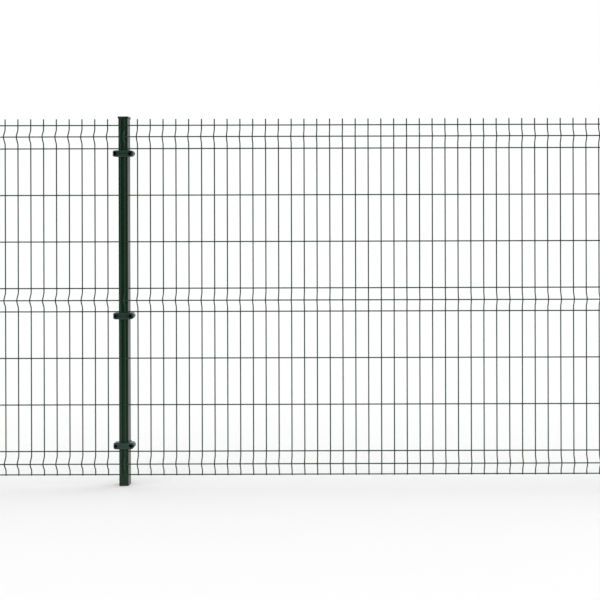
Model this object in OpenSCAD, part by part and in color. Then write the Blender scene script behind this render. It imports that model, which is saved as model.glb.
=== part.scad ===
// Welded mesh fence: two bays of folded wire panels held by collars on three rectangular posts.
// X runs along the fence, Y away from the viewer and Z up. The origin is at ground level, on the
// foot of the middle post, in the middle of its front wall. Every length is in millimetres.

/* [Mesh] */
// Spacing of the vertical wires
mesh_pitch = 55; // [45:1:65]
// Number of vertical wires in each half of a panel
half_wires = 23; // [12:1:23]
// Diameter of the vertical wires
vertical_d = 5; // [4:0.25:6]
// Diameter of the horizontal wires
horizontal_d = 5; // [4:0.25:6]
// Height of a plain row of mesh
row_h = 200; // [150:5:220]
// Number of plain rows between two folds
rows_between = 3; // [2:1:3]
// How far a wire sinks into the one that it is welded to
weld_sink = 0.8; // [0.4:0.1:1.2]
// Length of the spikes above the top wire
spike_len = 27; // [15:1:35]
// Length of the vertical wires below the bottom wire
tail_len = 3; // [3:0.5:8]
// Length of the horizontal wires past a panel's end wire
side_tail = 5; // [3:0.5:6]
// Number of sides of a wire
wire_sides = 6; // [6, 8]

/* [Folds] */
// Number of folds in the height of a panel
fold_count = 3; // [2:1:4]
// Spacing of the horizontal wires in a fold
fold_gap = 50; // [45:1:60]
// Height over which each side of a fold leans out
fold_run = 30; // [24:1:36]
// Depth of a fold
fold_depth = 25; // [15:1:35]

/* [Posts] */
// Width of a post, along the fence
post_w = 40; // [36:1:50]
// Depth of a post, across the fence
post_d = 60; // [40:1:80]
// Wall of a post
post_wall = 1.5; // [1.5:0.1:2.5]
// Outside radius of a post's corners
post_corner = 3.5; // [3:0.1:5]
// Height of a post's tube above the panels' top wire
post_above = 36; // [30:1:80]
// Height of the panels' bottom wire above the ground
ground_gap = 50; // [30:1:100]
// Distance from a post's centre line to a panel's end wire
end_wire_x = 9; // [7.5:0.5:11]

/* [Post caps] */
// Thickness of a cap's top
cap_top = 3; // [2:0.5:5]
// Height of the skirt that goes over the tube
cap_skirt = 6.5; // [5:0.5:20]
// Wall of the skirt
cap_wall = 2.5; // [2:0.1:5]
// Radius along the top edges
cap_edge = 2; // [1:0.25:2]
// Depth of the plug that goes into the tube
cap_plug = 12; // [8:1:20]
// Wall of the plug
plug_wall = 2; // [1.5:0.25:3]
// Clearance between the cap and the tube
cap_fit = 0.2; // [0.1:0.05:0.3]

/* [Collars] */
// How far a collar stands out from each side of a post
ear_reach = 26; // [24:0.5:34]
// Height of a collar in front of the post
collar_h = 29; // [27:0.5:32]
// Height of its two ears
ear_h = 25; // [23:0.5:26]
// Wall between a wire's channel and the bar's front
bar_wall = 5.5; // [5:0.25:8]
// Radius at the front corners of the bar, seen from above
bar_corner = 24; // [15:1:26]
// Radius along the top and bottom edges of the bar
bar_edge = 5; // [3:0.5:6]
// Width of the long groove in the bar's face
groove_w = 4; // [3:0.5:6]
// Depth of the long groove in the bar's face
groove_depth = 2; // [0.6:0.1:2.5]
// Clearance of a wire in its channel
channel_fit = 0.5; // [0.5:0.05:0.7]
// Distance from a post's side to each bolt
bolt_offset = 12; // [11.5:0.25:13]
// Diameter of a bolt hole
bolt_hole_d = 6.6; // [6:0.1:7]
// Diameter of the pocket that takes a bolt's head
pocket_d = 15; // [13:0.5:16]
// Thickness of the bar's ears under the bolt heads
ear_t = 8; // [6:0.5:12]
// Thickness of the strap behind a post
strap_t = 3; // [2:0.25:4]
// Height of the strap
strap_h = 24; // [20:0.5:25]
// Inside radius where the strap turns out into its ears
strap_bend = 3; // [2:0.5:4]
// Clearance between a collar and the post
collar_fit = 0.3; // [0.2:0.05:0.5]
// Gap between a top collar and the horizontal wire above it
top_gap = 4; // [1:0.5:9]
// Gap between a middle collar and the horizontal wire above it
middle_gap = 1.5; // [1:0.5:9]
// Gap between a bottom collar and the horizontal wire below it
bottom_gap = 7; // [1:0.5:9]

/* [Hidden] */

coating = [0.06, 0.16, 0.11];
moulding = [0.05, 0.15, 0.11];

// Heights above a panel's bottom wire
fold_h = 2 * fold_gap;
fold_step = fold_h + rows_between * row_h;
fold_starts = [for (i = [0 : fold_count - 1]) i * fold_step];
panel_top = fold_starts[fold_count - 1] + fold_h;

// Distances across the fence
post_front = -post_wall / 2;
post_y = post_front + post_d / 2;
post_back = post_front + post_d;
horizontal_y = post_front - horizontal_d / 2;
vertical_y = horizontal_y - (horizontal_d + vertical_d) / 2 + weld_sink;
wire_front = vertical_y - vertical_d / 2;
parting_y = post_y;
bar_front = wire_front - channel_fit - bar_wall;

// Places along the fence
half_length = (half_wires - 0.5) * mesh_pitch;
bay = 2 * half_length + 2 * end_wire_x;
left_x = -bay;
middle_x = 0;
right_x = bay;
from_left = 1;
from_right = -1;
bolt_x = post_w / 2 + bolt_offset;
collar_w = post_w + 2 * ear_reach;

// Heights above the ground
post_h = ground_gap + panel_top + post_above;
collar_drop = horizontal_d / 2 + collar_h / 2;
top_collar_z = ground_gap + fold_starts[fold_count - 1] - collar_drop - top_gap;
middle_collar_z = ground_gap + fold_starts[1] - collar_drop - middle_gap;
bottom_collar_z = ground_gap + fold_h + collar_drop + bottom_gap;

slack = 1;
core_share = 0.9;
least_corner = 0.5;

// The line of a vertical wire as [y, z] points, from its foot to its tip
vertical_line = concat(
    [[0, -tail_len]],
    [for (z = fold_starts, side = [-1, 0, 1])
        [side == 0 ? -fold_depth : 0, z + fold_gap + side * fold_run]],
    [[0, panel_top + spike_len]]
);

// The horizontal wires as [y, z] points: three in each fold and the plain rows between
horizontal_points = concat(
    [for (z = fold_starts, i = [0 : 2]) [i == 1 ? -fold_depth : 0, z + i * fold_gap]],
    [for (f = [0 : fold_count - 2], r = [1 : rows_between - 1])
        [0, fold_starts[f] + fold_h + r * row_h]]
);

function direction(a, b) = (b - a) / norm(b - a);

// Direction along the joint plane of a bent wire at point i of a line
function mitre(line, i) =
    let (
        last = len(line) - 1,
        before = direction(line[max(i - 1, 0)], line[max(i, 1)]),
        after = direction(line[min(i, last - 1)], line[min(i + 1, last)]),
        along = direction([0, 0], before + after)
    ) [along[1], -along[0]];

// A rectangle with true round corners, centred
module rounded_rectangle(size, radius) {
    square([size[0] - 2 * radius, size[1]], center = true);
    square([size[0], size[1] - 2 * radius], center = true);
    for (x = [-1, 1], y = [-1, 1])
        translate([x * (size[0] / 2 - radius), y * (size[1] / 2 - radius)])
            circle(r = radius, $fn = 32);
}

// A wire of a few flats along Z, with its size across the flats and a flat towards Y
module wire_bar(diameter, length) {
    rotate([0, 0, 90 - 180 / wire_sides])
        cylinder(d = diameter / cos(180 / wire_sides), h = length, $fn = wire_sides);
}

// One straight stretch of a bent wire, running past its joints with the next stretches
module wire_stretch(line, i, diameter) {
    a = line[i];
    b = line[i + 1];
    before = i == 0 ? 0 : diameter;
    after = i == len(line) - 2 ? 0 : diameter;
    lean = atan2(a[0] - b[0], b[1] - a[1]);
    translate([0, a[0], a[1]])
        rotate([lean, 0, 0])
            translate([0, 0, -before])
                wire_bar(diameter, norm(b - a) + before + after);
}

// Space round every other stretch of a bent wire, between its joint planes
module stretch_spaces(line, diameter) {
    rotate([90, 0, 90])
        linear_extrude(height = 2 * diameter, center = true)
            for (i = [0 : 2 : len(line) - 2]) {
                a = line[i];
                b = line[i + 1];
                reach_a = 2 * diameter * mitre(line, i);
                reach_b = 2 * diameter * mitre(line, i + 1);
                polygon([a - reach_a, a + reach_a, b + reach_b, b - reach_b]);
            }
}

// Solid middle of a bend, which lies inside both of its stretches
module bend_core(line, i, diameter) {
    translate([0, line[i][0], line[i][1]])
        rotate([0, 90, 0])
            cylinder(d = core_share * diameter, h = diameter / 2, center = true, $fn = wire_sides);
}

module vertical_wire() {
    last = len(vertical_line) - 1;
    intersection() {
        for (i = [0 : 2 : last - 1])
            wire_stretch(vertical_line, i, vertical_d);
        stretch_spaces(vertical_line, vertical_d);
    }
    difference() {
        for (i = [1 : 2 : last - 1])
            wire_stretch(vertical_line, i, vertical_d);
        stretch_spaces(vertical_line, vertical_d);
    }
    for (i = [1 : last - 1])
        bend_core(vertical_line, i, vertical_d);
}

// Half a panel, from its end wire beside a post to the middle of the panel
module half_panel(post_x, side) {
    color(coating)
        translate([post_x + side * end_wire_x, 0, ground_gap]) {
            for (i = [0 : half_wires - 1])
                translate([side * i * mesh_pitch, vertical_y, 0])
                    vertical_wire();
            for (p = horizontal_points)
                translate([-side * side_tail, horizontal_y + p[0], p[1]])
                    rotate([0, side * 90, 0])
                        wire_bar(horizontal_d, half_length + side_tail);
        }
}

module post(x) {
    color(coating)
        translate([x, post_y, 0])
            linear_extrude(height = post_h)
                difference() {
                    rounded_rectangle([post_w, post_d], post_corner);
                    rounded_rectangle(
                        [post_w - 2 * post_wall, post_d - 2 * post_wall],
                        post_corner - post_wall
                    );
                }
}

// Outline of the tube's outside, made larger by a clearance or smaller by a negative one
module tube_outline(clearance) {
    rounded_rectangle(
        [post_w + 2 * clearance, post_d + 2 * clearance],
        max(post_corner + clearance, least_corner)
    );
}

// Block with round corners seen from above, and round edges along its top
module cap_block() {
    size = [post_w, post_d] + 2 * [cap_fit + cap_wall, cap_fit + cap_wall];
    height = cap_skirt + cap_top;
    intersection() {
        linear_extrude(height = height)
            tube_outline(cap_fit + cap_wall);
        rotate([90, 0, 0])
            linear_extrude(height = size[1], center = true)
                rounded_rectangle([size[0], 2 * height], cap_edge);
        rotate([90, 0, 90])
            linear_extrude(height = size[0], center = true)
                rounded_rectangle([size[1], 2 * height], cap_edge);
    }
}

// Cap whose skirt goes over the tube and whose hollow plug goes into it
module post_cap(x) {
    plug = post_wall + cap_fit;
    color(moulding)
        translate([x, post_y, post_h - cap_skirt]) {
            difference() {
                cap_block();
                translate([0, 0, -slack])
                    linear_extrude(height = cap_skirt + slack)
                        tube_outline(cap_fit);
            }
            translate([0, 0, cap_skirt - cap_plug])
                linear_extrude(height = cap_plug)
                    difference() {
                        tube_outline(-plug);
                        tube_outline(-plug - plug_wall);
                    }
        }
}

// Outline of the strap seen from the front, with a round ear at each end
module strap_face() {
    ear_x = (collar_w - strap_h) / 2;
    square([2 * ear_x, strap_h], center = true);
    for (side = [-1, 1])
        translate([side * ear_x, 0])
            circle(d = strap_h, $fn = 48);
}

// Outline of the bar seen from the front: full height at the post, and lower round ears
module bar_face() {
    post_x = post_w / 2;
    end_x = collar_w / 2;
    intersection() {
        polygon([
            [-end_x, ear_h / 2], [-post_x, collar_h / 2], [post_x, collar_h / 2], [end_x, ear_h / 2],
            [end_x, -ear_h / 2], [post_x, -collar_h / 2], [-post_x, -collar_h / 2], [-end_x, -ear_h / 2]
        ]);
        rounded_rectangle([collar_w, collar_h], (collar_h - slack) / 2);
    }
}

// Outline of the bar seen from above, drawn in by an inset
module bar_plan(inset) {
    depth = parting_y - bar_front;
    intersection() {
        translate([0, parting_y])
            rounded_rectangle(
                [collar_w - 2 * inset, 2 * (depth - inset)],
                bar_corner - inset
            );
        translate([inset - collar_w / 2, bar_front + inset])
            square([collar_w - 2 * inset, depth - inset]);
    }
}

// Moulded bar in front of the wires, which reaches back along both sides of the post to its ears.
// It has a channel for each end wire and a deep pocket for each bolt.
module collar_bar(x, z) {
    depth = parting_y - bar_front;
    color(moulding)
        translate([x, 0, z])
            difference() {
                intersection() {
                    linear_extrude(height = collar_h, center = true)
                        bar_plan(0);
                    translate([0, parting_y, 0])
                        rotate([90, 0, 0])
                            linear_extrude(height = depth)
                                bar_face();
                    translate([0, parting_y, 0])
                        rotate([90, 0, 90])
                            linear_extrude(height = collar_w, center = true)
                                rounded_rectangle([2 * depth, collar_h], bar_edge);
                }
                linear_extrude(height = groove_w, center = true)
                    difference() {
                        bar_plan(-slack);
                        bar_plan(groove_depth);
                    }
                translate([0, post_y, -collar_h])
                    linear_extrude(height = 2 * collar_h)
                        tube_outline(collar_fit);
                for (side = [-1, 1]) {
                    translate([side * end_wire_x, 0, 0])
                        wire_channel();
                    translate([side * bolt_x, 0, 0])
                        bolt_space();
                }
            }
}

// Space for one end wire, open towards the post
module wire_channel() {
    width = vertical_d + 2 * channel_fit;
    linear_extrude(height = collar_h + 2 * slack, center = true) {
        translate([0, vertical_y])
            circle(d = width, $fn = 32);
        translate([-width / 2, vertical_y])
            square([width, post_front - vertical_y]);
    }
}

// Space for one bolt: the hole through the ear and the pocket that its head goes down
module bolt_space() {
    translate([0, parting_y + slack, 0])
        rotate([90, 0, 0])
            cylinder(d = bolt_hole_d, h = ear_t + 2 * slack, $fn = 32);
    translate([0, parting_y - ear_t, 0])
        rotate([90, 0, 0])
            cylinder(d = pocket_d, h = parting_y - bar_front, $fn = 48);
}

// Outline of the strap seen from above: round the back of the post, out into two ears
module strap_plan() {
    side_x = post_w / 2 + collar_fit + strap_t;
    root = [side_x, parting_y + strap_t];
    difference() {
        union() {
            intersection() {
                translate([0, post_y])
                    tube_outline(collar_fit + strap_t);
                translate([-collar_w / 2, parting_y])
                    square([collar_w, post_d]);
            }
            translate([-collar_w / 2, parting_y])
                square([collar_w, strap_t]);
            for (side = [-1, 1])
                mirror([(1 - side) / 2, 0])
                    translate(root)
                        difference() {
                            translate([-slack, -slack])
                                square(strap_bend + slack);
                            translate([strap_bend, strap_bend])
                                circle(r = strap_bend, $fn = 32);
                        }
        }
        translate([0, post_y])
            tube_outline(collar_fit);
    }
}

// Strap round the back of a post, with an ear on each side that the bar is bolted to
module collar_strap(x, z) {
    depth = post_back + collar_fit + strap_t - parting_y;
    color(coating)
        translate([x, 0, z])
            difference() {
                intersection() {
                    linear_extrude(height = strap_h, center = true)
                        strap_plan();
                    translate([0, parting_y + depth, 0])
                        rotate([90, 0, 0])
                            linear_extrude(height = depth)
                                strap_face();
                }
                for (side = [-1, 1])
                    translate([side * bolt_x, parting_y + strap_t + slack, 0])
                        rotate([90, 0, 0])
                            cylinder(d = bolt_hole_d, h = strap_t + 2 * slack, $fn = 32);
            }
}

post(left_x);  // left_post
post(middle_x);  // middle_post
post(right_x);  // right_post

post_cap(left_x);  // left_post_cap
post_cap(middle_x);  // middle_post_cap
post_cap(right_x);  // right_post_cap

half_panel(left_x, from_left);  // left_panel_outer_half
half_panel(middle_x, from_right);  // left_panel_inner_half
half_panel(middle_x, from_left);  // right_panel_inner_half
half_panel(right_x, from_right);  // right_panel_outer_half

collar_bar(left_x, top_collar_z);  // left_top_collar_bar
collar_bar(left_x, middle_collar_z);  // left_middle_collar_bar
collar_bar(left_x, bottom_collar_z);  // left_bottom_collar_bar
collar_bar(middle_x, top_collar_z);  // middle_top_collar_bar
collar_bar(middle_x, middle_collar_z);  // middle_middle_collar_bar
collar_bar(middle_x, bottom_collar_z);  // middle_bottom_collar_bar
collar_bar(right_x, top_collar_z);  // right_top_collar_bar
collar_bar(right_x, middle_collar_z);  // right_middle_collar_bar
collar_bar(right_x, bottom_collar_z);  // right_bottom_collar_bar

collar_strap(left_x, top_collar_z);  // left_top_collar_strap
collar_strap(left_x, middle_collar_z);  // left_middle_collar_strap
collar_strap(left_x, bottom_collar_z);  // left_bottom_collar_strap
collar_strap(middle_x, top_collar_z);  // middle_top_collar_strap
collar_strap(middle_x, middle_collar_z);  // middle_middle_collar_strap
collar_strap(middle_x, bottom_collar_z);  // middle_bottom_collar_strap
collar_strap(right_x, top_collar_z);  // right_top_collar_strap
collar_strap(right_x, middle_collar_z);  // right_middle_collar_strap
collar_strap(right_x, bottom_collar_z);  // right_bottom_collar_strap
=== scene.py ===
import math

import bmesh
import bpy
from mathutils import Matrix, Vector


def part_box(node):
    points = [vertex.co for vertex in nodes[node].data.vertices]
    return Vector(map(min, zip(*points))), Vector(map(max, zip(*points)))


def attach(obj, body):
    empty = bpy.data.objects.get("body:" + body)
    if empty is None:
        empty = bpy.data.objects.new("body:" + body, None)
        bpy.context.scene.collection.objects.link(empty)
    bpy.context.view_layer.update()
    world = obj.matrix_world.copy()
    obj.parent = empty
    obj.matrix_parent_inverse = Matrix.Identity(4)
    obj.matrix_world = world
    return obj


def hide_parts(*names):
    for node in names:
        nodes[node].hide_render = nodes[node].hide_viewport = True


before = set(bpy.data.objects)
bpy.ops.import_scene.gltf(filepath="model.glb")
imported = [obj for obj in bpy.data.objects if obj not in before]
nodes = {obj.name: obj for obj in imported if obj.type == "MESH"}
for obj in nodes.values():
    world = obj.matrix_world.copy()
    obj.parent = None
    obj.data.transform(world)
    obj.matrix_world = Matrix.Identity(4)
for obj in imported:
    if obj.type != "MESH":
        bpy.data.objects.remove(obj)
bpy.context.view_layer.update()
mm = 0.001

# The camera stands on the mesh side, 1.1 m to the right of the middle post and at chest height,
# and looks square at the fence, so no upright converges. The shift gives the photograph's crop,
# and the slight roll shares the photograph's lean between the rows and the uprights.
picture_px = 600
sensor_mm = 36
focal_px = 1261.3
axis_px = (380.8, 197.1)
camera_roll = 0.159
camera_data = bpy.data.cameras.new("camera")
camera_data.sensor_width = sensor_mm
camera_data.lens = sensor_mm * focal_px / picture_px
camera_data.shift_x = (picture_px / 2 - axis_px[0]) / picture_px
camera_data.shift_y = (axis_px[1] - picture_px / 2) / picture_px
camera = bpy.data.objects.new("camera", camera_data)
camera.location = (1.108, -5.422, 1.239)
camera.rotation_euler = (math.radians(90), math.radians(camera_roll), 0)
bpy.context.scene.collection.objects.link(camera)
bpy.context.scene.camera = camera
bpy.context.scene.view_settings.view_transform = "Standard"

# The studio is a white floor under a white surround, which lights the fence at a plain level,
# with a broad weak sun behind the fence and to its right, as in the photograph, and a weaker one
# in front. The surround that the coat mirrors is white behind the fence and dim in front.
surround_strength = 1.0
mirrored_front = 0.07
mirror_fade = (-0.25, 0.35)
floor_half_width = 30
floor_front = -2.5
floor_back = 30
floor_white = 0.75
floor_own_white = 0.12


def link_nodes(tree, source, output, target, socket):
    """Joins an output of one node to an input of another."""
    tree.links.new(source.outputs[output], target.inputs[socket])


def greater_of(tree, first, second):
    """A node with the greater of two (node, output name) pairs."""
    node = tree.nodes.new("ShaderNodeMath")
    node.operation = "MAXIMUM"
    for place, (source, output) in enumerate((first, second)):
        link_nodes(tree, source, output, node, place)
    return node


def rays_shown_white(tree):
    """A node that is 1 for a ray from the camera, a mirror or glass, and its Light Path node."""
    rays = tree.nodes.new("ShaderNodeLightPath")
    mirrored = greater_of(tree, (rays, "Is Glossy Ray"), (rays, "Is Transmission Ray"))
    return greater_of(tree, (rays, "Is Camera Ray"), (mirrored, "Value")), rays


world = bpy.data.worlds.new("surround")
bpy.context.scene.world = world
world.use_nodes = True
sky = world.node_tree
sky.nodes.clear()
lighting = sky.nodes.new("ShaderNodeBackground")
lighting.inputs["Strength"].default_value = surround_strength
lighting.inputs["Color"].default_value = (1, 1, 1, 1)
backdrop = sky.nodes.new("ShaderNodeBackground")
backdrop.inputs["Color"].default_value = (1, 1, 1, 1)
shown, rays = rays_shown_white(sky)
compass = sky.nodes.new("ShaderNodeTexCoord")
heading = sky.nodes.new("ShaderNodeSeparateXYZ")
link_nodes(sky, compass, "Generated", heading, "Vector")
fade = sky.nodes.new("ShaderNodeMapRange")
fade.interpolation_type = "SMOOTHSTEP"
fade.inputs["From Min"].default_value = mirror_fade[0]
fade.inputs["From Max"].default_value = mirror_fade[1]
fade.inputs["To Min"].default_value = mirrored_front
link_nodes(sky, heading, "Y", fade, "Value")
white = greater_of(sky, (fade, "Result"), (rays, "Is Camera Ray"))
link_nodes(sky, white, "Value", backdrop, "Strength")
choice = sky.nodes.new("ShaderNodeMixShader")
sky_out = sky.nodes.new("ShaderNodeOutputWorld")
link_nodes(sky, shown, "Value", choice, "Fac")
link_nodes(sky, lighting, "Background", choice, 1)
link_nodes(sky, backdrop, "Background", choice, 2)
link_nodes(sky, choice, "Shader", sky_out, "Surface")


def broad_sun(name, place, strength, spread_angle):
    """A sun that shines from a place towards the origin, as broad as the given angle."""
    light = bpy.data.lights.new(name, "SUN")
    light.energy = strength
    light.angle = math.radians(spread_angle)
    holder = bpy.data.objects.new(name, light)
    holder.location = place
    holder.rotation_euler = Vector(place).to_track_quat("Z", "Y").to_euler()
    bpy.context.scene.collection.objects.link(holder)


broad_sun("sun", place=(7, 4, 6), strength=0.6, spread_angle=40)
broad_sun("front_fill", place=(-3, -6, 5), strength=0.4, spread_angle=60)

floor_mesh = bpy.data.meshes.new("floor")
floor_corners = [
    (-floor_half_width, floor_front, 0),
    (floor_half_width, floor_front, 0),
    (floor_half_width, floor_back, 0),
    (-floor_half_width, floor_back, 0),
]
floor_mesh.from_pydata(floor_corners, [], [(0, 1, 2, 3)])
floor = bpy.data.objects.new("floor", floor_mesh)
bpy.context.scene.collection.objects.link(floor)
paper = bpy.data.materials.new("white_floor")
paper.use_nodes = True
tree = paper.node_tree
tree.nodes.clear()
matt = tree.nodes.new("ShaderNodeBsdfDiffuse")
matt.inputs["Color"].default_value = (floor_white, floor_white, floor_white, 1)
glow = tree.nodes.new("ShaderNodeEmission")
shown, rays = rays_shown_white(tree)
own_white = tree.nodes.new("ShaderNodeMath")
own_white.operation = "MULTIPLY"
own_white.inputs[1].default_value = floor_own_white
both = tree.nodes.new("ShaderNodeAddShader")
paper_out = tree.nodes.new("ShaderNodeOutputMaterial")
link_nodes(tree, shown, "Value", own_white, 0)
link_nodes(tree, own_white, "Value", glow, "Strength")
link_nodes(tree, matt, "BSDF", both, 0)
link_nodes(tree, glow, "Emission", both, 1)
link_nodes(tree, both, "Shader", paper_out, "Surface")
floor_mesh.materials.append(paper)

# The posts are rectangular steel tube, galvanized and coated with moss green polyester powder.
# The baked powder has a faint orange peel, and it is a little chalky where rain and sun reach it.
# Dust lies in thin patches, more of it near the foot, where rain splashes soil up.
post_green = (0.0015, 0.022, 0.008)
chalk_green = (0.008, 0.040, 0.020)
dust_grey = (0.16, 0.17, 0.13)
powder_specular = 0.3
peel_size = 1.5 * mm
peel_strength = 0.3
splash_height = 220 * mm
weather_scale = 2.5
dust_patch_scale = 9
splash_speck_scale = 160
most_chalk = 0.35
weather_dulling = 0.15


def noise(tree, place, scale, detail):
    """A noise of the given scale over the piece's own coordinates."""
    node = tree.nodes.new("ShaderNodeTexNoise")
    node.inputs["Scale"].default_value = scale
    node.inputs["Detail"].default_value = detail
    link_nodes(tree, place, "Object", node, "Vector")
    return node


def spread(tree, source, output, low, high, to_low, to_high):
    """Maps an output from the range low to high into the range to_low to to_high."""
    node = tree.nodes.new("ShaderNodeMapRange")
    node.inputs["From Min"].default_value = low
    node.inputs["From Max"].default_value = high
    node.inputs["To Min"].default_value = to_low
    node.inputs["To Max"].default_value = to_high
    link_nodes(tree, source, output, node, "Value")
    return node


def blended(tree, share, share_output, first, second):
    """A colour between two others; each is a colour or a (node, output) pair."""
    node = tree.nodes.new("ShaderNodeMix")
    node.data_type = "RGBA"
    for socket, value in (("A", first), ("B", second)):
        if isinstance(value[0], float):
            node.inputs[socket].default_value = (*value, 1)
        else:
            link_nodes(tree, *value, node, socket)
    link_nodes(tree, share, share_output, node, "Factor")
    return node


def coated_metal(name, green, roughness, peel, dust):
    """Polyester powder on steel: peel is the depth of its ripple, dust the most that covers it."""
    material = bpy.data.materials.new(name)
    material.use_nodes = True
    tree = material.node_tree
    shader = tree.nodes["Principled BSDF"]
    shader.inputs["Specular IOR Level"].default_value = powder_specular
    place = tree.nodes.new("ShaderNodeTexCoord")

    weather = noise(tree, place, weather_scale, 5)
    chalk = spread(tree, weather, "Fac", 0.4, 0.7, 0.0, most_chalk)
    weathered = blended(tree, chalk, "Result", green, chalk_green)

    patches = noise(tree, place, dust_patch_scale, 8)
    patch_cover = spread(tree, patches, "Fac", 0.5, 0.75, 0.0, dust)
    height = tree.nodes.new("ShaderNodeSeparateXYZ")
    link_nodes(tree, place, "Object", height, "Vector")
    splash = spread(tree, height, "Z", 0.0, splash_height, 3 * dust, 0.0)
    specks = noise(tree, place, splash_speck_scale, 3)
    speck_cover = spread(tree, specks, "Fac", 0.5, 0.65, 0.0, 1.0)
    splashed = tree.nodes.new("ShaderNodeMath")
    splashed.operation = "MULTIPLY_ADD"
    link_nodes(tree, splash, "Result", splashed, 0)
    link_nodes(tree, speck_cover, "Result", splashed, 1)
    link_nodes(tree, patch_cover, "Result", splashed, 2)
    colour = blended(tree, splashed, "Value", (weathered, "Result"), dust_grey)
    link_nodes(tree, colour, "Result", shader, "Base Color")

    dull = spread(tree, weather, "Fac", 0.3, 0.7, roughness, roughness + weather_dulling)
    link_nodes(tree, dull, "Result", shader, "Roughness")

    ripple = noise(tree, place, 1 / peel_size, 2)
    relief = tree.nodes.new("ShaderNodeBump")
    relief.inputs["Strength"].default_value = peel_strength
    relief.inputs["Distance"].default_value = peel
    link_nodes(tree, ripple, "Fac", relief, "Height")
    link_nodes(tree, relief, "Normal", shader, "Normal")
    return material


def dress(node_name, material):
    """Gives a node of the frame its material."""
    mesh = nodes[node_name].data
    mesh.materials.clear()
    mesh.materials.append(material)


post_coat = coated_metal("post_powder_coat", post_green, 0.3, 0.05 * mm, 0.015)
for side in ("left", "middle", "right"):
    dress(f"{side}_post", post_coat)

# A cap of moulded polyamide, pushed on by hand, closes each post against rain. It has the fine
# grain of its mould, rubbed smoother in places, and dust settles on its top.
cap_green = (0.004, 0.022, 0.012)
moulding_specular = 0.5
grain_size = 0.35 * mm
grain_depth = 0.02 * mm
grain_strength = 0.5
streak_scale = 40
settled_dust_scale = 90
most_fade = 0.6
rub_dulling = 0.2


def moulding(name, green, roughness, dust):
    """Moulded polyamide: dust is the most that lies on the faces that look up."""
    material = bpy.data.materials.new(name)
    material.use_nodes = True
    tree = material.node_tree
    shader = tree.nodes["Principled BSDF"]
    shader.inputs["Specular IOR Level"].default_value = moulding_specular
    place = tree.nodes.new("ShaderNodeTexCoord")

    streaks = noise(tree, place, streak_scale, 6)
    faded = spread(tree, streaks, "Fac", 0.4, 0.7, 0.0, most_fade)
    tone = blended(tree, faded, "Result", green, chalk_green)
    facing = tree.nodes.new("ShaderNodeSeparateXYZ")
    surface = tree.nodes.new("ShaderNodeNewGeometry")
    link_nodes(tree, surface, "Normal", facing, "Vector")
    upward = spread(tree, facing, "Z", 0.3, 1.0, 0.1, 1.0)
    patches = noise(tree, place, settled_dust_scale, 5)
    patch_cover = spread(tree, patches, "Fac", 0.35, 0.7, 0.0, dust)
    cover = tree.nodes.new("ShaderNodeMath")
    cover.operation = "MULTIPLY"
    link_nodes(tree, upward, "Result", cover, 0)
    link_nodes(tree, patch_cover, "Result", cover, 1)
    colour = blended(tree, cover, "Value", (tone, "Result"), dust_grey)
    link_nodes(tree, colour, "Result", shader, "Base Color")

    rubbed = spread(tree, streaks, "Fac", 0.35, 0.65, roughness, roughness + rub_dulling)
    link_nodes(tree, rubbed, "Result", shader, "Roughness")
    grain = noise(tree, place, 1 / grain_size, 1)
    relief = tree.nodes.new("ShaderNodeBump")
    relief.inputs["Strength"].default_value = grain_strength
    relief.inputs["Distance"].default_value = grain_depth
    link_nodes(tree, grain, "Fac", relief, "Height")
    link_nodes(tree, relief, "Normal", shader, "Normal")
    return material


cap_material = moulding("cap_moulding", cap_green, 0.35, 0.15)
for side in ("left", "middle", "right"):
    dress(f"{side}_post_cap", cap_material)

# The panels are welded from round 5 mm wire, with the uprights in front of the horizontal wires.
# Three folds are pressed into the finished mesh to stiffen it, and the whole panel is then
# galvanized and powder coated, so the coat runs over the welds.
mesh_pitch = 55 * mm
upright_count = 46
wire_d = 5 * mm
coat_thick = 0.12 * mm
wire_corners = 12
weld_sink = 0.8 * mm
fold_gap = 50 * mm
fold_run = 30 * mm
fold_depth = 25 * mm
fold_step = 700 * mm
row_h = 200 * mm
fold_count = 3
spike = 27 * mm
tail = 3 * mm
side_tail = 5 * mm
bend_radius = 12 * mm
bend_steps = 5
end_rim = 0.5 * mm
bead_half = (2.7 * mm, 1.3 * mm, 2.7 * mm)
bead_segments = 8
bead_rings = 4
end_wire_x = 9 * mm
wire_sharp_angle = 40

row_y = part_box("middle_post")[0].y - wire_d / 2
upright_y = row_y - wire_d + weld_sink
foot_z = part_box("right_panel_inner_half")[0].z + tail
top_z = 2 * fold_step + 2 * fold_gap
row_length = (upright_count - 1) * mesh_pitch + 2 * side_tail


def new_tree(name, inputs):
    """A node tree that takes Geometry, the named inputs and a Material, and its input node."""
    tree = bpy.data.node_groups.new(name, "GeometryNodeTree")
    sockets = [("Geometry", "Geometry"), *inputs, ("Material", "Material")]
    for socket, kind in sockets:
        tree.interface.new_socket(socket, in_out="INPUT", socket_type="NodeSocket" + kind)
    tree.interface.new_socket("Geometry", in_out="OUTPUT", socket_type="NodeSocketGeometry")
    return tree, tree.nodes.new("NodeGroupInput")


def repeated(tree, given, source, output):
    """Instances of an output's geometry, Copies of them at the Spacing along X."""
    step = tree.nodes.new("ShaderNodeCombineXYZ")
    places = tree.nodes.new("GeometryNodeMeshLine")
    copies = tree.nodes.new("GeometryNodeInstanceOnPoints")
    link_nodes(tree, given, "Copies", places, "Count")
    link_nodes(tree, given, "Spacing", step, "X")
    link_nodes(tree, step, "Vector", places, "Offset")
    link_nodes(tree, places, "Mesh", copies, "Points")
    link_nodes(tree, source, output, copies, "Instance")
    return copies


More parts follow.
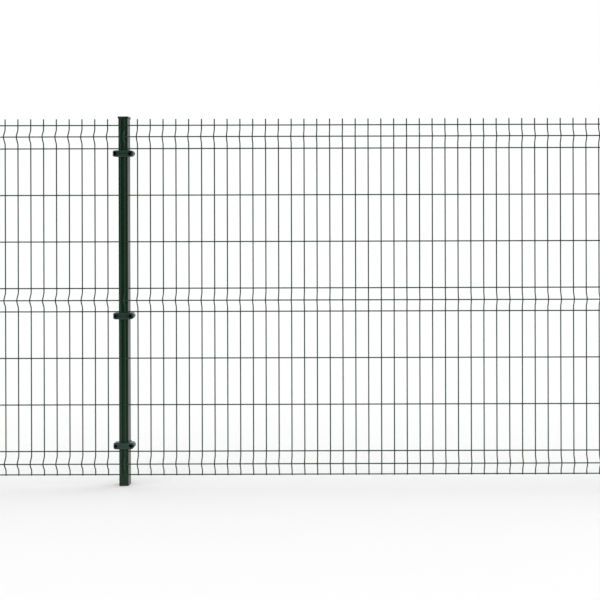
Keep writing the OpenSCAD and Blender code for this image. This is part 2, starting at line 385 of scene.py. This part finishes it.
def end_tree(tree, given, copies):
    """Makes the instances real, gives them the Material and ends the tree with them."""
    real = tree.nodes.new("GeometryNodeRealizeInstances")
    finish = tree.nodes.new("GeometryNodeSetMaterial")
    result = tree.nodes.new("NodeGroupOutput")
    link_nodes(tree, copies, "Instances", real, "Geometry")
    link_nodes(tree, real, "Geometry", finish, "Geometry")
    link_nodes(tree, given, "Material", finish, "Material")
    link_nodes(tree, finish, "Geometry", result, "Geometry")


def wire_tree():
    """Node tree that turns the host's lines into bent round wire and repeats them along X."""
    tree, given = new_tree("bent_wire", [
        ("Copies", "Int"),
        ("Spacing", "Float"),
        ("Wire diameter", "Float"),
        ("Corners", "Int"),
        ("Bend radius", "Float"),
        ("Bend steps", "Int"),
    ])
    line = tree.nodes.new("GeometryNodeMeshToCurve")
    bend = tree.nodes.new("GeometryNodeFilletCurve")
    bend.mode = "POLY"
    bend.inputs["Limit Radius"].default_value = True
    half_d = tree.nodes.new("ShaderNodeMath")
    half_d.operation = "MULTIPLY"
    half_d.inputs[1].default_value = 0.5
    section = tree.nodes.new("GeometryNodeCurvePrimitiveCircle")
    wire = tree.nodes.new("GeometryNodeCurveToMesh")
    wire.inputs["Fill Caps"].default_value = True
    link_nodes(tree, given, "Geometry", line, "Mesh")
    link_nodes(tree, line, "Curve", bend, "Curve")
    link_nodes(tree, given, "Bend steps", bend, "Count")
    link_nodes(tree, given, "Bend radius", bend, "Radius")
    link_nodes(tree, given, "Wire diameter", half_d, 0)
    link_nodes(tree, given, "Corners", section, "Resolution")
    link_nodes(tree, half_d, "Value", section, "Radius")
    link_nodes(tree, bend, "Curve", wire, "Curve")
    link_nodes(tree, section, "Curve", wire, "Profile Curve")
    end_tree(tree, given, repeated(tree, given, wire, "Mesh"))
    return tree


def bead_tree():
    """Node tree that sets a weld bead on each of the host's points and repeats them along X."""
    tree, given = new_tree("weld_beads", [
        ("Copies", "Int"),
        ("Spacing", "Float"),
        ("Half size", "Vector"),
    ])
    crossings = tree.nodes.new("GeometryNodeRealizeInstances")
    ball = tree.nodes.new("GeometryNodeMeshUVSphere")
    ball.inputs["Segments"].default_value = bead_segments
    ball.inputs["Rings"].default_value = bead_rings
    ball.inputs["Radius"].default_value = 1
    beads = tree.nodes.new("GeometryNodeInstanceOnPoints")
    columns = repeated(tree, given, given, "Geometry")
    link_nodes(tree, columns, "Instances", crossings, "Geometry")
    link_nodes(tree, crossings, "Geometry", beads, "Points")
    link_nodes(tree, ball, "Mesh", beads, "Instance")
    link_nodes(tree, given, "Half size", beads, "Scale")
    end_tree(tree, given, beads)
    return tree


def grown(name, tree, host_points, host_edges, values):
    """The plain mesh that a node tree makes from a host of points and edges."""
    mesh = bpy.data.meshes.new(name + "_host")
    mesh.from_pydata(host_points, host_edges, [])
    host = bpy.data.objects.new(name + "_host", mesh)
    bpy.context.scene.collection.objects.link(host)
    modifier = host.modifiers.new("grow", "NODES")
    modifier.node_group = tree
    for item in tree.interface.items_tree:
        if item.in_out == "INPUT" and item.name in values:
            modifier[item.identifier] = values[item.name]
    seen = host.evaluated_get(bpy.context.evaluated_depsgraph_get())
    result = bpy.data.meshes.new_from_object(seen)
    host.modifiers.remove(modifier)
    bpy.data.objects.remove(host)
    result.name = name
    return result


def joined(name, meshes, material, rim, sharp_angle):
    """One object of several meshes, with a small bevel round each cut end of a wire."""
    shape = bmesh.new()
    for mesh in meshes:
        shape.from_mesh(mesh)
    for face in shape.faces:
        face.material_index = 0
    cut_ends = [face for face in shape.faces if len(face.verts) > 4]
    rims = {edge for face in cut_ends for edge in face.edges}
    bmesh.ops.bevel(shape, geom=list(rims), offset=rim, segments=1, affect="EDGES")
    whole = bpy.data.meshes.new(name)
    shape.to_mesh(whole)
    shape.free()
    whole.materials.append(material)
    whole.shade_smooth()
    whole.set_sharp_from_angle(angle=math.radians(sharp_angle))
    piece = bpy.data.objects.new(name, whole)
    bpy.context.scene.collection.objects.link(piece)
    return piece


# The wire's coat is smoother than the posts'. Its green is painted lighter than the posts' green:
# painted light standing in for the light that the round wires catch.
wire_painted_light_green = (0.010, 0.046, 0.022)
wire_coat = coated_metal("wire_powder_coat", wire_painted_light_green, 0.28, 0.03 * mm, 0.015)
bent_wire = wire_tree()
weld_beads = bead_tree()

fold_lean = math.atan2(fold_depth, fold_run)
apex_y = -fold_depth - bend_radius * (1 / math.cos(fold_lean) - 1)
upright_line = [(0, -tail)]
for fold in range(fold_count):
    middle = fold * fold_step + fold_gap
    upright_line += [(0, middle - fold_run), (apex_y, middle), (0, middle + fold_run)]
upright_line.append((0, top_z + spike))

row_places = []
for fold in range(fold_count):
    start = fold * fold_step
    row_places += [(0, start), (-fold_depth, start + fold_gap), (0, start + 2 * fold_gap)]
    if fold < fold_count - 1:
        row_places += [(0, start + 2 * fold_gap + row_h), (0, start + 2 * fold_gap + 2 * row_h)]

wire_values = {
    "Wire diameter": wire_d + 2 * coat_thick,
    "Corners": wire_corners,
    "Bend radius": bend_radius,
    "Bend steps": bend_steps,
    "Spacing": mesh_pitch,
    "Material": wire_coat,
}
for panel, from_post in (("left_panel", "left_post"), ("right_panel", "middle_post")):
    post_low, post_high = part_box(from_post)
    first_x = (post_low.x + post_high.x) / 2 + end_wire_x
    upright_points = [(first_x, upright_y + y, foot_z + z) for y, z in upright_line]
    upright_edges = [(i, i + 1) for i in range(len(upright_points) - 1)]
    uprights = grown(
        panel + "_uprights", bent_wire, upright_points, upright_edges,
        {**wire_values, "Copies": upright_count},
    )
    row_points = []
    for y, z in row_places:
        for x in (first_x - side_tail, first_x - side_tail + row_length):
            row_points.append((x, row_y + y, foot_z + z))
    row_edges = [(2 * i, 2 * i + 1) for i in range(len(row_places))]
    rows = grown(
        panel + "_rows", bent_wire, row_points, row_edges, {**wire_values, "Copies": 1}
    )
    bead_y = row_y - (wire_d - weld_sink) / 2
    bead_points = [(first_x, bead_y + y, foot_z + z) for y, z in row_places]
    beads = grown(
        panel + "_beads", weld_beads, bead_points, [],
        {"Copies": upright_count, "Spacing": mesh_pitch, "Half size": bead_half,
         "Material": wire_coat},
    )
    piece = joined(
        panel + "_wires", [uprights, rows, beads], wire_coat, end_rim, wire_sharp_angle
    )
    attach(piece, "root")
    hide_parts(f"{panel}_outer_half", f"{panel}_inner_half")

# Each collar is a moulded polyamide bar in front of the end wires and a coated steel strap behind
# the post. The two are pulled together by bolts through their ears.
collar_green = (0.006, 0.030, 0.020)
collar_material = moulding("collar_moulding", collar_green, 0.24, 0.12)
strap_material = coated_metal("strap_powder_coat", post_green, 0.35, 0.05 * mm, 0.04)
collars = [f"{side}_{level}" for side in ("left", "middle", "right")
           for level in ("top", "middle", "bottom")]
for collar in collars:
    dress(f"{collar}_collar_bar", collar_material)
    dress(f"{collar}_collar_strap", strap_material)

# The bolts are M6, of zinc-plated steel, with a round socket head and a washer down in the bar's
# pocket. Behind the strap each has a second washer and a nut, with a little thread showing.
bolt_out = 32 * mm
ear_thick = 8 * mm
strap_thick = 3 * mm
shank_r = 3 * mm
head_r = 5.25 * mm
head_land_r = 2.9 * mm
head_high = 3.3 * mm
head_dome = ((0.14, 0.78), (0.38, 0.92), (0.7, 0.99))
socket_across = 4 * mm
socket_deep = 2.1 * mm
washer_r = 6 * mm
washer_thick = 1.6 * mm
nut_across = 10 * mm
nut_high = 5 * mm
nut_corner = 0.5 * mm
thread_pitch = 1 * mm
thread_deep = 0.4 * mm
thread_turns = 3
bolt_corners = 24
bolt_sharp_angle = 30
most_bolt_turn = 60
bolt_seed = 7
stain_scale = 500
zinc = (0.62, 0.63, 0.64)
zinc_stain = (0.30, 0.29, 0.26)


def hexagon_reach(angle, across):
    """Distance from a hexagon's middle to its edge at an angle from one of its flats."""
    sixth = math.pi / 3
    from_flat = (angle + sixth / 2) % sixth - sixth / 2
    return across / 2 / math.cos(from_flat)


def turned_bolt(name):
    """A bolt, two washers and a nut about the Y axis, with the collar's parting plane at 0."""
    seat = -ear_thick
    head_foot = seat - washer_thick
    head_top = head_foot - head_high
    back = strap_thick
    nut_foot = back + washer_thick
    nut_top = nut_foot + nut_high
    rings = [
        (head_top + socket_deep, None, socket_across),
        (head_top, None, socket_across),
        (head_top, head_land_r, None),
        *((head_top + down * head_high, out * head_r, None) for down, out in head_dome),
        (head_foot, head_r, None),
        (head_foot, washer_r, None),
        (seat, washer_r, None),
        (seat, shank_r, None),
        (back, shank_r, None),
        (back, washer_r, None),
        (nut_foot, washer_r, None),
        (nut_foot, None, nut_across),
        (nut_top - nut_corner, None, nut_across),
        (nut_top, nut_across / 2 - nut_corner, None),
        (nut_top, shank_r, None),
    ]
    for turn in range(thread_turns):
        rings.append((nut_top + (turn + 0.5) * thread_pitch, shank_r - thread_deep, None))
        rings.append((nut_top + (turn + 1) * thread_pitch, shank_r, None))
    rings.append((nut_top + (thread_turns + 0.5) * thread_pitch, shank_r - thread_deep, None))

    shape = bmesh.new()
    loops = []
    for y, radius, across in rings:
        loop = []
        for corner in range(bolt_corners):
            angle = 2 * math.pi * corner / bolt_corners
            reach = hexagon_reach(angle, across) if across else radius
            loop.append(shape.verts.new((reach * math.sin(angle), y, reach * math.cos(angle))))
        loops.append(loop)
    for one, other in zip(loops, loops[1:]):
        for i in range(bolt_corners):
            j = (i + 1) % bolt_corners
            shape.faces.new((one[i], one[j], other[j], other[i]))
    shape.faces.new(loops[0])
    shape.faces.new(loops[-1])
    bmesh.ops.recalc_face_normals(shape, faces=shape.faces)
    mesh = bpy.data.meshes.new(name)
    shape.to_mesh(mesh)
    shape.free()
    return mesh


def bolt_tree():
    """Node tree that sets a bolt on each of the host's points, each turned by a fixed chance."""
    tree, given = new_tree("collar_bolts", [
        ("Bolt", "Object"),
        ("Most turn", "Float"),
        ("Seed", "Int"),
    ])
    bolt = tree.nodes.new("GeometryNodeObjectInfo")
    chance = tree.nodes.new("FunctionNodeRandomValue")
    chance.data_type = "FLOAT"
    turn = tree.nodes.new("ShaderNodeCombineXYZ")
    copies = tree.nodes.new("GeometryNodeInstanceOnPoints")
    link_nodes(tree, given, "Bolt", bolt, "Object")
    link_nodes(tree, given, "Most turn", chance, "Max")
    link_nodes(tree, given, "Seed", chance, "Seed")
    link_nodes(tree, chance, "Value", turn, "Y")
    link_nodes(tree, given, "Geometry", copies, "Points")
    link_nodes(tree, bolt, "Geometry", copies, "Instance")
    link_nodes(tree, turn, "Vector", copies, "Rotation")
    end_tree(tree, given, copies)
    return tree


def plated_steel(name):
    """Zinc-plated steel, dulled in small stains."""
    material = bpy.data.materials.new(name)
    material.use_nodes = True
    tree = material.node_tree
    shader = tree.nodes["Principled BSDF"]
    shader.inputs["Metallic"].default_value = 1
    place = tree.nodes.new("ShaderNodeTexCoord")
    stains = noise(tree, place, stain_scale, 5)
    cover = spread(tree, stains, "Fac", 0.45, 0.7, 0.0, 0.8)
    colour = blended(tree, cover, "Result", zinc, zinc_stain)
    link_nodes(tree, colour, "Result", shader, "Base Color")
    dull = spread(tree, stains, "Fac", 0.35, 0.7, 0.3, 0.6)
    link_nodes(tree, dull, "Result", shader, "Roughness")
    return material


bolt_points = []
for collar in collars:
    low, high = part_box(f"{collar}_collar_bar")
    for out in (-bolt_out, bolt_out):
        bolt_points.append(((low.x + high.x) / 2 + out, high.y, (low.z + high.z) / 2))
bolt = bpy.data.objects.new("bolt", turned_bolt("bolt"))
bpy.context.scene.collection.objects.link(bolt)
zinc_plate = plated_steel("zinc_plate")
bolts = grown(
    "collar_bolts", bolt_tree(), bolt_points, [],
    {"Bolt": bolt, "Most turn": math.radians(most_bolt_turn), "Seed": bolt_seed,
     "Material": zinc_plate},
)
bpy.data.objects.remove(bolt)
bolts.materials.clear()
bolts.materials.append(zinc_plate)
for polygon in bolts.polygons:
    polygon.material_index = 0
bolts.shade_smooth()
bolts.set_sharp_from_angle(angle=math.radians(bolt_sharp_angle))
bolt_piece = bpy.data.objects.new("collar_bolts", bolts)
bpy.context.scene.collection.objects.link(bolt_piece)
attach(bolt_piece, "root")
